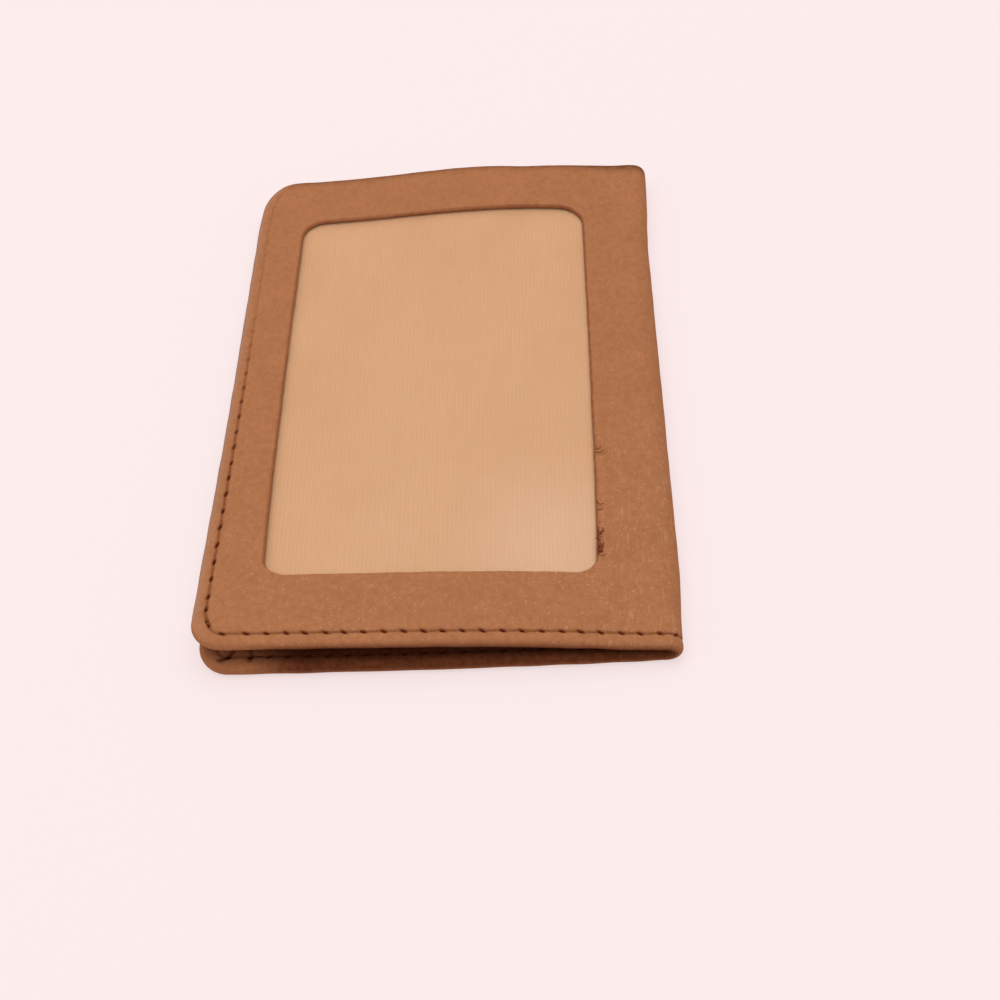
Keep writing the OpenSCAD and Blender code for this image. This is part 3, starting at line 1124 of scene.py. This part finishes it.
def slotRise(u, v, depth):  # the front slot rises over the rear one just inside the hem
    inset = np.minimum(u, half - np.abs(v))
    return depth + 0.6 * ease((inset - 7.1) / 0.6)


badgePocket = blankOutline(1.35, mouthU, pocketSpan)
longPocket = blankOutline(1.55, mouthU, pocketSpan)
# depth, thickness, place, material, spacing of the points, seed, waves, shade of the edge
pane = makeLayer("windowPane", blankOutline(1.35, mouthU), 0.72, 0.24, placeFront, vinyl, 1.6, 52, 0.05, 0.0)
frontPanel = makeLayer("frontPanel", badgePocket, 1.3, 0.48, placeFront, pocketLeather, 2.0, 54)
fold = rectOutline(61.7, wallet["crease"], 51.2)
foldLining = makeLayer("frontFoldLining", fold, 0.72, 0.2, placeFront, ribbedCloth, 1.5, 55, edgeShade=0.0)
stiffener = makeLayer("backStiffener", blankOutline(1.55, 60.6), 0.7, 0.39, placeBack, boardFinish, 3.0, 56)
backPanel = makeLayer("backPanel", longPocket, 1.31, 0.48, placeBack, pocketLeather, 2.0, 58)
rear = rectOutline(35.4, rearMouth, slotHalf, 1.3)
rearSlotPanel = makeLayer("rearSlotPanel", rear, 2.01, 0.38, placeBack, pocketLeather, 1.8, 60)
front = blankOutline(1.55, frontMouth, 2 * slotHalf)
frontSlotPanel = makeLayer(
    "frontSlotPanel", front, 1.8, 0.4, placeBack, pocketLeather, 1.2, 61, shape=slotRise
)
print("layers made")

# Ribbed cloth, its cords raised by Geometry Nodes


def newTree(name, inputs):
    tree = bpy.data.node_groups.new(name, "GeometryNodeTree")
    tree.interface.new_socket("Geometry", in_out="INPUT", socket_type="NodeSocketGeometry")
    for title, kind, value in inputs + (("Material", "Material", None),):
        socket = tree.interface.new_socket(title, in_out="INPUT", socket_type="NodeSocket" + kind)
        if value is not None:
            socket.default_value = value
    tree.interface.new_socket("Geometry", in_out="OUTPUT", socket_type="NodeSocketGeometry")
    return tree, addNode(tree, "NodeGroupInput", out=None)


def endTree(tree, given, geometry, smooth=True):
    if smooth:
        geometry = addNode(tree, "GeometryNodeSetShadeSmooth", {"Geometry": geometry})
    real = addNode(tree, "GeometryNodeRealizeInstances", {"Geometry": geometry})
    done = addNode(tree, "GeometryNodeSetMaterial", {"Geometry": real, "Material": given["Material"]})
    addNode(tree, "NodeGroupOutput", {0: done}, None)
    return tree


def applied(name, source, tree, values):
    # runs a tree on a source mesh and returns the result as a plain mesh object
    carrier = linked(name + "Source", source)
    modifier = carrier.modifiers.new("build", "NODES")
    modifier.node_group = tree
    for item in tree.interface.items_tree:
        if item.in_out == "INPUT" and item.name in values:
            modifier[item.identifier] = values[item.name]
    evaluated = carrier.evaluated_get(bpy.context.evaluated_depsgraph_get())
    mesh = bpy.data.meshes.new_from_object(evaluated)
    carrier.modifiers.remove(modifier)
    bpy.data.objects.remove(carrier)
    mesh.name = name
    return linked(name, mesh)


def makeRibTree():
    tree, given = newTree("raisedRibs", (("Pitch", "Float", 0.00064), ("Height", "Float", 0.00004)))
    wave = addNode(tree, "ShaderNodeSeparateXYZ", {0: addNode(tree, "GeometryNodeInputPosition")})
    for how, by in (
        ("DIVIDE", given["Pitch"]),
        ("MULTIPLY", 2 * math.pi),
        ("COSINE", 0.0),
        ("MULTIPLY", given["Height"]),
    ):
        wave = addNode(tree, "ShaderNodeMath", {0: wave, 1: by}, operation=how)
    face = addNode(tree, "GeometryNodeInputNormal")
    picked = addNode(tree, "GeometryNodeInputNamedAttribute", {"Name": "ribbed"}, data_type="FLOAT")
    moved = addNode(tree, "GeometryNodeSetPosition", {
        "Geometry": given["Geometry"],
        "Selection": addNode(tree, "FunctionNodeCompare", {0: picked, 1: 0.5}, data_type="FLOAT"),
        "Offset": addNode(tree, "ShaderNodeVectorMath", {0: face, "Scale": wave}, operation="SCALE"),
    })
    return endTree(tree, given, moved)


ribTree = makeRibTree()


cloth = {"rows": 90, "stepsPerRib": 4, "ribHeight": 0.008, "thick": 0.18, "waveSize": 14.0}


def recessShade(u, v):  # painted shade on the cloth along the window's cut, for the recess's shadow and the dark edge reflected in the film
    outer, fold = windowSides(v)
    gap = np.minimum(u - outer, (fold - u) * 2.2)
    gap = np.minimum(gap, (half - windowCut["far"] - v) * 0.55)
    return 0.72 * np.exp(-np.clip(gap, 0, None) / 0.45)


def makeCloth(name, startU, endU, mouth, edge, corners, depth, place, shape=None, waves=0.0):
    # a closed sheet on a grid fine enough for its ribs, with its outline cut to the pocket's form
    columns = int((endU - startU) / (ribPitch / cloth["stepsPerRib"])) + 1
    numbers = []
    work = Patchwork()
    for level in (0.0, cloth["thick"]):
        sheet = []
        for b in -1 + 2 * np.arange(cloth["rows"]) / (cloth["rows"] - 1):
            u = mixed(startU, endU, np.linspace(0, 1, columns))
            # the outer corners are rounded by drawing the rows in
            corner = mixed(*corners, (b + 1) / 2)
            short = np.clip(corner - (u - startU), 0, corner)
            v = b * (edge - (corner - np.sqrt(np.maximum(corner ** 2 - short ** 2, 0))))
            if mouth:
                span, dip = mouth
                end = mouthCurve(endU, span, dip, np.clip(v, -span / 2, span / 2))
                u = startU + (u - startU) * (end - startU) / (endU - startU)
            wave = waves * ripple(u, v, cloth["waveSize"], 71)
            shade = recessShade(u, v) if place is placeFront else 0.0
            sheet.append(work.add(np.stack([u, v, depth + level + wave], -1), 0.0, shade))
        numbers.append(np.array(sheet))
    low, high = numbers
    work.grid(low)
    work.grid(high[::-1])
    for a, b in ((low[0], high[0]), (high[-1], low[-1]), (high[:, 0], low[:, 0]), (low[:, -1], high[:, -1])):
        work.grid([b, a])
    plain = work.build(name + "Plain", pressedPlace(place, shape), ribbedCloth, False, 60)
    mesh = plain.data
    flat = np.array([v.normal[2] > 0.9 for v in mesh.vertices], np.float32)
    mesh.attributes.new("ribbed", "FLOAT", "POINT").data.foreach_set("value", flat)
    bpy.data.objects.remove(plain)
    sizes = {"Pitch": ribPitch * metre, "Height": cloth["ribHeight"] * metre, "Material": ribbedCloth}
    return applied(name, mesh, ribTree, sizes)


mouth = (pocketSpan, 1.4)
backing = makeCloth(
    "windowBacking", 1.35, mouthU, mouth, half - 1.35, (3.05, 5.85), 1.1, placeFront, waves=0.05
)
crease, edge = wallet["crease"], half - 1.55
backLining = makeCloth("backLining", 1.55, crease, None, edge, (2.85, 5.65), 1.1, placeBack, liningDrop)
mouth = (2 * slotHalf, 1.3)
rearLining = makeCloth("rearSlotLining", 7.7, rearMouth, mouth, slotHalf, (0.0, 0.0), 1.81, placeBack)
print("cloth made")

# Stitches


def makeStitchTree():
    # one stitch per point: a thread that lies on the leather and dives into a hole at each end
    tree, given = newTree("lockStitches", (
        ("Thread Radius", "Float", 0.00017),
        ("Dive", "Float", 0.0003),
        ("Lean", "Float", 0.0001),
        ("Arch", "Float", 0.0),
        ("Seed", "Int", 7),
    ))
    line = addNode(tree, "GeometryNodeCurvePrimitiveLine", {"Start": (-0.5, 0, 0), "End": (0.5, 0, 0)})
    fine = addNode(tree, "GeometryNodeResampleCurve", {"Curve": line, "Count": 9})
    along = addNode(tree, "ShaderNodeSeparateXYZ", {0: addNode(tree, "GeometryNodeInputPosition")})
    along = addNode(tree, "ShaderNodeMath", {0: along, 1: 2.0}, operation="MULTIPLY")
    lean = addNode(tree, "ShaderNodeMath", {0: along, 1: given["Lean"]}, operation="MULTIPLY")
    out = addNode(tree, "ShaderNodeMath", {0: along}, operation="ABSOLUTE")
    steep = addNode(tree, "ShaderNodeMath", {0: out, 1: 4.0}, operation="POWER")
    ends = addNode(tree, "ShaderNodeMath", {0: steep, 1: given["Dive"]}, operation="MULTIPLY")
    bowed = addNode(tree, "ShaderNodeMath", {0: out, 1: 2.0}, operation="POWER")
    crown = addNode(tree, "ShaderNodeMath", {0: 1.0, 1: bowed}, operation="SUBTRACT")
    rise = addNode(tree, "ShaderNodeMath", {0: crown, 1: given["Arch"]}, operation="MULTIPLY")
    down = addNode(tree, "ShaderNodeMath", {0: rise, 1: ends}, operation="SUBTRACT")
    shift = addNode(tree, "ShaderNodeCombineXYZ", {1: lean, 2: down})
    shaped = addNode(tree, "GeometryNodeSetPosition", {"Geometry": fine, "Offset": shift})
    ring = {"Resolution": 7, "Radius": given["Thread Radius"]}
    ring = addNode(tree, "GeometryNodeCurvePrimitiveCircle", ring)
    sweep = {"Curve": shaped, "Profile Curve": ring, "Fill Caps": True}
    heading, face, span = (
        addNode(tree, "GeometryNodeInputNamedAttribute", {"Name": name}, data_type=kind)
        for name, kind in (("heading", "FLOAT_VECTOR"), ("facing", "FLOAT_VECTOR"), ("span", "FLOAT"))
    )
    turn = addNode(tree, "FunctionNodeAlignRotationToVector", {"Vector": heading}, axis="X")
    upright = {"Rotation": turn, "Vector": face}
    turn = addNode(tree, "FunctionNodeAlignRotationToVector", upright, axis="Z", pivot_axis="X")
    sway = {"Min": (0, 0, -0.05), "Max": (0, 0, 0.05), "Seed": given["Seed"]}
    sway = addNode(tree, "FunctionNodeRandomValue", sway, data_type="FLOAT_VECTOR")
    swayed = {"Rotation": turn, "Rotate By": sway}
    placed = addNode(tree, "GeometryNodeInstanceOnPoints", {
        "Points": addNode(tree, "GeometryNodeMeshToPoints", {"Mesh": given["Geometry"]}),
        "Instance": addNode(tree, "GeometryNodeCurveToMesh", sweep),
        "Rotation": addNode(tree, "FunctionNodeRotateRotation", swayed, rotation_space="LOCAL"),
        "Scale": addNode(tree, "ShaderNodeCombineXYZ", {0: span, 1: 1.0, 2: 1.0}),
    })
    return endTree(tree, given, placed)


stitchTree = makeStitchTree()


def makeStitches(name, spots, facing, seed, finish, lean=0.1, arch=0.0, dive=0.8):
    # spots are the holes in order, as wallet places in millimetres, and facing is the way out of the leather
    heading = spots[1:] - spots[:-1]
    span = np.linalg.norm(heading, axis=1)
    mesh = bpy.data.meshes.new(name)
    mesh.from_pydata(((spots[1:] + spots[:-1]) / 2 * metre).tolist(), [], [])
    for title, values in (("heading", unit(heading)), ("facing", (facing[1:] + facing[:-1]) / 2)):
        values = values.astype(np.float32).ravel()
        mesh.attributes.new(title, "FLOAT_VECTOR", "POINT").data.foreach_set("vector", values)
    # a little over the gap, so both ends sink into their holes
    span = (span * metre * 1.04).astype(np.float32)
    mesh.attributes.new("span", "FLOAT", "POINT").data.foreach_set("value", span)
    sizes = {"Thread Radius": seam["threadRadius"], "Dive": dive, "Lean": lean, "Arch": arch}
    values = {title: size * metre for title, size in sizes.items()}
    return applied(name, mesh, stitchTree, {**values, "Seed": seed, "Material": finish})


def seamSpots(holes, depthOf, place):
    run, line = seamRun()
    line = rimShift(line, seam["inset"] - seamInset(run))
    u, v = (np.interp(holes, run, line[:, k]) for k in range(2))
    spots = place(u, v, depthOf(u))
    return spots, unit(spots - place(u, v, depthOf(u) + 0.5))


def bendSpots(turnFrom, turnTo, side, outside):
    holes, length = bendHoles()
    turns = holes / length
    turns = turns[(turns >= turnFrom - 0.12) & (turns <= turnTo + 0.12)]
    depth = seam["threadDepth"] if outside else wallet["foldEdge"] - seam["threadDepth"]
    v = np.full(len(turns), side * (half - bendInset(side)))
    spots = bendOrLeaf(turns, v, depth)
    facing = unit(spots - bendOrLeaf(turns, v, depth + 0.3))
    return spots, facing if outside else -facing


def bendOrLeaf(turns, v, depth):
    # a place on the bend, or just past it on the leaf that it joins
    _, length = bendHoles()
    on = placeBend(np.clip(turns, 0, 1), v, depth)
    past = np.where(turns < 0, turns, np.where(turns > 1, 1 - turns, 0)) * length
    on[:, 0] += past
    return on


threads = {}
for leaf, place, holes, layers in (
    ("front", placeFront, frontHoles, frontLayers),
    ("back", placeBack, backHoles, backLayers),
):
    spots, facing = seamSpots(holes, lambda u: seam["threadDepth"] + 0 * u, place)
    threads[leaf + "NeedleThread"] = makeStitches(leaf + "NeedleThread", spots, facing, 81, needleFinish)
    inside = lambda u, deep=layers: leafThickness(u, deep) - seam["threadDepth"]
    spots, facing = seamSpots(holes, inside, place)
    name = leaf + "BobbinThread"
    threads[name] = makeStitches(name, spots, -facing, 82, shadedBobbinFinish, -0.1)
print("seams sewn")

bendThreads = []
for title, turnFrom, turnTo in (("Lower", 0.0, 0.5), ("Upper", 0.5, 1.0)):
    parts = []
    for side in (-1, 1):
        for outside in (True, False):
            spots, facing = bendSpots(turnFrom, turnTo, side, outside)
            finish, arch = (needleFinish, 0.28) if outside else (shadedBobbinFinish, -0.12)
            parts.append(makeStitches("bendThreadPart", spots, facing, 83, finish, arch=arch))
    joined = parts[0]
    bm = bmesh.new()
    for part in parts:
        bm.from_mesh(part.data)
    bm.to_mesh(joined.data)
    bm.free()
    for part in parts[1:]:
        bpy.data.objects.remove(part)
    joined.name = "bendThread" + title
    bendThreads.append(joined)

mouthSeam = {"back": 1.8, "pitch": 2.7, "short": 1.2}


def mouthSpots(endU, span, dip, depth, place):
    # stitch holes a little behind a pocket's mouth, on the side that faces the other leaf
    reach = span / 2 - mouthSeam["short"]
    v = np.linspace(-reach, reach, int(2 * reach / mouthSeam["pitch"]) + 1)
    u = mouthCurve(endU, span, dip, v) - mouthSeam["back"]
    spots = place(u, v, pressed(u, depth))
    return spots, unit(place(u, v, pressed(u, depth) + 0.5) - spots)


mouthThreads = []
for title, endU, span, dip, depth, leaf, place in (
    ("frontPanelThread", mouthU, pocketSpan, 1.4, 1.8, "front_leaf", placeFront),
    ("backPanelThread", mouthU, pocketSpan, 1.4, 1.81, "back_leaf", placeBack),
    ("rearSlotThread", rearMouth, 2 * slotHalf, 1.3, 2.41, "back_leaf", placeBack),
    ("frontSlotThread", frontMouth, 2 * slotHalf, 1.4, 2.82, "back_leaf", placeBack),
):
    spots, facing = mouthSpots(endU, span, dip, depth, place)
    mouthThreads.append((makeStitches(title, spots, facing, 84, needleFinish, dive=0.3), leaf))
print("pocket mouths stitched")

# Loose fibres at the window's cut edge

fray = {
    "count": 42,
    "length": 1.2,
    "radius": 0.05,
    "seed": 5,
    # middle, spread and share of the fibres
    "groups": ((-33.1, 0.45, 0.26), (-35.6, 0.75, 0.5), (-27.0, 4.0, 0.14), (-14.5, 2.0, 0.1)),
}


def makeFrayTree():
    tree, given = newTree("looseFibres", (
        ("Length", "Float", 0.0009),
        ("Radius", "Float", 0.00003),
        ("Seed", "Int", 5),
    ))
    curl = {"Resolution": 6, "Start": (0, 0, 0), "Middle": (0.9, 0.1, 0.15), "End": (0.6, 0.7, 0.05)}
    hair = addNode(tree, "GeometryNodeCurveQuadraticBezier", curl)
    scaled = addNode(tree, "GeometryNodeTransform", {"Geometry": hair, "Scale": given["Length"]})
    ring = addNode(tree, "GeometryNodeCurvePrimitiveCircle", {"Resolution": 4, "Radius": given["Radius"]})
    turns = {"Min": (-0.4, -0.25, -1.9), "Max": (0.4, 0.0, 1.2), "Seed": given["Seed"]}
    sizes = {2: 0.25, 3: 1.2, "Seed": given["Seed"]}
    sweep = {"Curve": scaled, "Profile Curve": ring, "Fill Caps": True}
    placed = addNode(tree, "GeometryNodeInstanceOnPoints", {
        "Points": addNode(tree, "GeometryNodeMeshToPoints", {"Mesh": given["Geometry"]}),
        "Instance": addNode(tree, "GeometryNodeCurveToMesh", sweep),
        "Rotation": addNode(tree, "FunctionNodeRandomValue", turns, data_type="FLOAT_VECTOR"),
        "Scale": addNode(tree, "FunctionNodeRandomValue", sizes, 1, data_type="FLOAT"),
    })
    return endTree(tree, given, placed, smooth=False)


def makeFray():
    rng = np.random.default_rng(fray["seed"])
    v = np.concatenate([
        rng.normal(middle, spread, int(fray["count"] * share)) for middle, spread, share in fray["groups"]
    ])
    u = windowSides(v)[1] + 0.2
    depth = rng.uniform(-0.04, 0.06, len(v))
    mesh = bpy.data.meshes.new("fraySpots")
    mesh.from_pydata((placeFront(u, v, depth) * metre).tolist(), [], [])
    return applied("looseFibres", mesh, makeFrayTree(), {
        "Length": fray["length"] * metre,
        "Radius": fray["radius"] * metre,
        "Seed": fray["seed"],
        "Material": fibreFinish,
    })


fibres = makeFray()
print("fibres made")

# Bodies and replaced nodes


for piece, body, slot, node in (
    (frontCover, "front_leaf", "outer_leather", "front_cover"),
    (pane, "front_leaf", "clear_vinyl", "window_pane"),
    (backing, "front_leaf", "ribbed_lining", "window_backing"),
    (frontPanel, "front_leaf", "inner_leather", "front_panel"),
    (foldLining, "front_leaf", "ribbed_lining", "front_fold_lining"),
    (fibres, "front_leaf", None, None),
    (backCover, "back_leaf", "outer_leather", "back_cover"),
    (stiffener, "back_leaf", "board", "back_stiffener"),
    (backLining, "back_leaf", "ribbed_lining", "back_lining"),
    (backPanel, "back_leaf", "inner_leather", "back_panel"),
    (rearLining, "back_leaf", "ribbed_lining", "rear_slot_lining"),
    (rearSlotPanel, "back_leaf", "inner_leather", "rear_slot_panel"),
    (frontSlotPanel, "back_leaf", "inner_leather", "front_slot_panel"),
):
    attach(piece, body)
    if node:
        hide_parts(node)
for leaf in ("front", "back"):
    for kind in ("NeedleThread", "BobbinThread"):
        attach(threads[leaf + kind], leaf + "_leaf")
for thread, leaf in mouthThreads:
    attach(thread, leaf)

for piece, turn, bodies, slot, node in (
    (bendLower, lowerBend, ("back_leaf", "spine"), "outer_leather", "spine_cover"),
    (bendUpper, upperBend, ("spine", "front_leaf"), "outer_leather", "spine_cover"),
    (bendLiningLower, lowerBend, ("back_leaf", "spine"), "ribbed_lining", "spine_lining"),
    (bendLiningUpper, upperBend, ("spine", "front_leaf"), "ribbed_lining", "spine_lining"),
    (bendThreads[0], lowerBend, ("back_leaf", "spine"), None, None),
    (bendThreads[1], upperBend, ("spine", "front_leaf"), None, None),
):
    if node:
        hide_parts(node)
    start, end = ((x * metre, 0.0, z * metre) for x, z in (turn["start"], turn["end"]))
    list(bodies)
    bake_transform(piece)
    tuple(start)
    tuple(end)

# Floor, light and camera

studio = {
    "floor": "#FEEEEE",
    "floorReach": 0.9,
    "floorGlow": 0.7,  # share of the floor's own colour that the camera sees, whatever the light
    "glowSpan": (0.25, 0.65),
    "world": 0.33,
    "worldColour": (1.0, 0.97, 0.95, 1.0),
    "ceiling": {"size": 1.0, "height": 0.9, "watts": 6.2, "place": (0.04, 0.1)},
    "side": {"size": 0.8, "height": 0.55, "watts": 1.4, "place": (-0.6, -0.3)},
}


def seenDirectly(tree):  # 1 for what the camera, a reflection or a clear film sees, 0 for light on the object
    path = addNode(tree, "ShaderNodeLightPath", out=None)
    rays = (path["Is Camera Ray"], path["Is Glossy Ray"], path["Is Transmission Ray"])
    return strength(tree, *rays, how="MAXIMUM")


def makeFloor():
    mesh = bpy.data.meshes.new("floor")
    r = studio["floorReach"]
    mesh.from_pydata([(-r, -r, 0), (r, -r, 0), (r, r, 0), (-r, r, 0)], [], [(0, 1, 2, 3)])
    material, tree, place = newMaterial("matPaperTable")
    colour = fromHex(studio["floor"])
    paper = {"Base Color": colour, "Roughness": 0.9, "Specular IOR Level": 0.1}
    # past the lamps' reach the floor turns to its own colour, so its edge hardly shows against the backdrop
    away = addNode(tree, "ShaderNodeVectorMath", {0: place}, 1, operation="LENGTH")
    both = addNode(tree, "ShaderNodeMixShader", {
        0: strength(tree, seenDirectly(tree), (away, *studio["glowSpan"], studio["floorGlow"], 1.0)),
        1: addNode(tree, "ShaderNodeBsdfPrincipled", paper),
        2: addNode(tree, "ShaderNodeEmission", {"Color": colour, "Strength": 1.0}),
    })
    addNode(tree, "ShaderNodeOutputMaterial", {"Surface": both}, None)
    mesh.materials.append(material)
    linked("floor", mesh)


def makeLamp(name, plan):
    light = bpy.data.lights.new(name, "AREA")
    light.shape = "SQUARE"
    light.size = plan["size"]
    light.energy = plan["watts"]
    lamp = linked(name, light)
    lamp.location = (*plan["place"], plan["height"])
    lamp.rotation_euler = (-lamp.location).to_track_quat("-Z", "Y").to_euler()


def makeWorld():
    world = bpy.data.worlds.new("softRoom")
    scene.world = world
    world.use_nodes = True
    tree = world.node_tree
    tree.nodes.clear()
    room = {"Color": studio["worldColour"], "Strength": studio["world"]}
    both = addNode(tree, "ShaderNodeMixShader", {
        0: seenDirectly(tree),
        1: addNode(tree, "ShaderNodeBackground", room),
        2: addNode(tree, "ShaderNodeBackground", {"Color": fromHex(studio["floor"]), "Strength": 1.0}),
    })
    addNode(tree, "ShaderNodeOutputWorld", {0: both}, None)


def makeCamera():
    plan = {"place": (14.87, -169.68, 175.22), "turn": (40.14, 2.15, -0.07), "lens": 54.0}
    data = bpy.data.cameras.new("camera")
    data.lens = plan["lens"]
    data.sensor_width = 36.0
    data.clip_start = 0.005
    camera = linked("camera", data)
    camera.location = [c * metre for c in plan["place"]]
    camera.rotation_euler = [math.radians(a) for a in plan["turn"]]
    scene.camera = camera


makeFloor()
makeLamp("ceilingPanel", studio["ceiling"])
makeLamp("sidePanel", studio["side"])
makeWorld()
makeCamera()
print("studio made")
